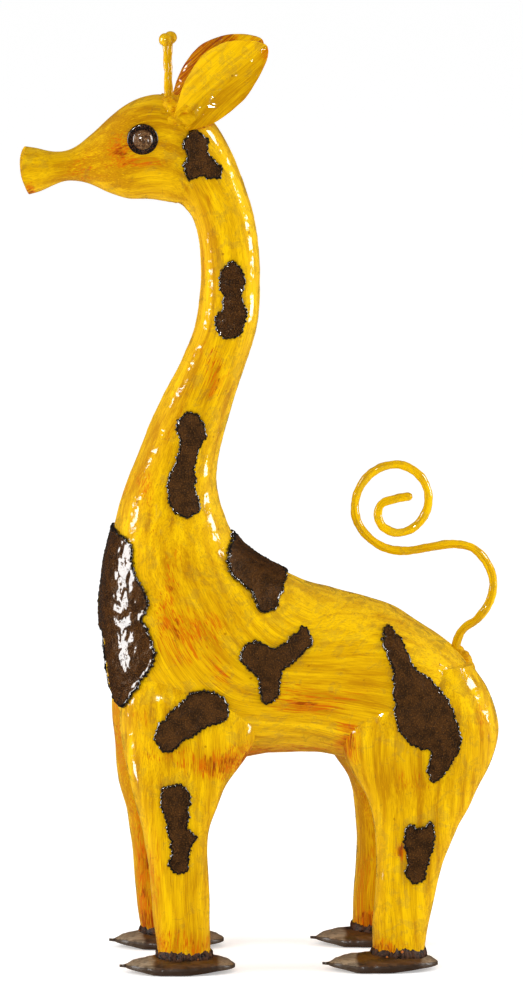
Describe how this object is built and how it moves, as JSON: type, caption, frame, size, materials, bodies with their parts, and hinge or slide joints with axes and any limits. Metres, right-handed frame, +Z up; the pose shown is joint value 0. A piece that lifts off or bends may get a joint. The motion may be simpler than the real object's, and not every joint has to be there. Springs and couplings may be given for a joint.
{
  "type": "painted metal giraffe statue",
  "caption": "Free-standing giraffe of welded sheet steel with cupped ears, wire horns, a curled rod tail, raised spot plates and leaf-shaped feet.",
  "frame": {"origin": "on the ground, under the middle of the statue's bounding box", "axes": "+Z up, the giraffe faces -X and its left flank is toward -Y"},
  "size_m": [0.3252, 0.14, 0.6384],
  "materials": {
    "body_yellow": "brushed yellow and ochre paint under clear gloss lacquer",
    "leg_yellow": "brushed yellow paint, orange toward the feet, gloss lacquer",
    "ear_yellow": "brushed yellow paint over orange, gloss lacquer",
    "weld_yellow": "lumpy painted weld metal",
    "spot_brown": "dark brown semi-gloss paint with black ragged edges",
    "foot_brown": "dark brown satin paint on hammered metal",
    "foot_weld_brown": "rough brown weld metal with orange flecks",
    "eye_brown": "dark brown gloss paint, worn on the high spots"
  },
  "bodies": {
    "root": {"head_shell_left": "body_yellow", "head_shell_right": "body_yellow", "neck_shell_left": "body_yellow", "neck_shell_right": "body_yellow", "torso_shell_left": "body_yellow", "torso_shell_right": "body_yellow", "leg_front_left": "leg_yellow", "leg_front_right": "leg_yellow", "leg_hind_left": "leg_yellow", "leg_hind_right": "leg_yellow", "foot_front_left": "foot_brown", "foot_front_right": "foot_brown", "foot_hind_left": "foot_brown", "foot_hind_right": "foot_brown", "foot_weld_front_left": "foot_weld_brown", "foot_weld_front_right": "foot_weld_brown", "foot_weld_hind_left": "foot_weld_brown", "foot_weld_hind_right": "foot_weld_brown", "ear_left": "ear_yellow", "ear_right": "ear_yellow", "ear_weld_left": "weld_yellow", "ear_weld_right": "weld_yellow", "horn_left": "ear_yellow", "horn_right": "ear_yellow", "eye_washer_left": "eye_brown", "eye_washer_right": "eye_brown", "eye_rivet_left": "eye_brown", "eye_rivet_right": "eye_brown", "tail_rod": "body_yellow", "tail_weld": "weld_yellow", "spot_nape_left": "spot_brown", "spot_nape_right": "spot_brown", "spot_upper_neck_left": "spot_brown", "spot_upper_neck_right": "spot_brown", "spot_mid_neck_left": "spot_brown", "spot_mid_neck_right": "spot_brown", "spot_chest_left": "spot_brown", "spot_chest_right": "spot_brown", "spot_withers_left": "spot_brown", "spot_withers_right": "spot_brown", "spot_flank_left": "spot_brown", "spot_flank_right": "spot_brown", "spot_shoulder_left": "spot_brown", "spot_shoulder_right": "spot_brown", "spot_foreleg_left": "spot_brown", "spot_foreleg_right": "spot_brown", "spot_haunch_left": "spot_brown", "spot_haunch_right": "spot_brown", "spot_hind_leg_left": "spot_brown", "spot_hind_leg_right": "spot_brown"}
  },
  "joints": []
}
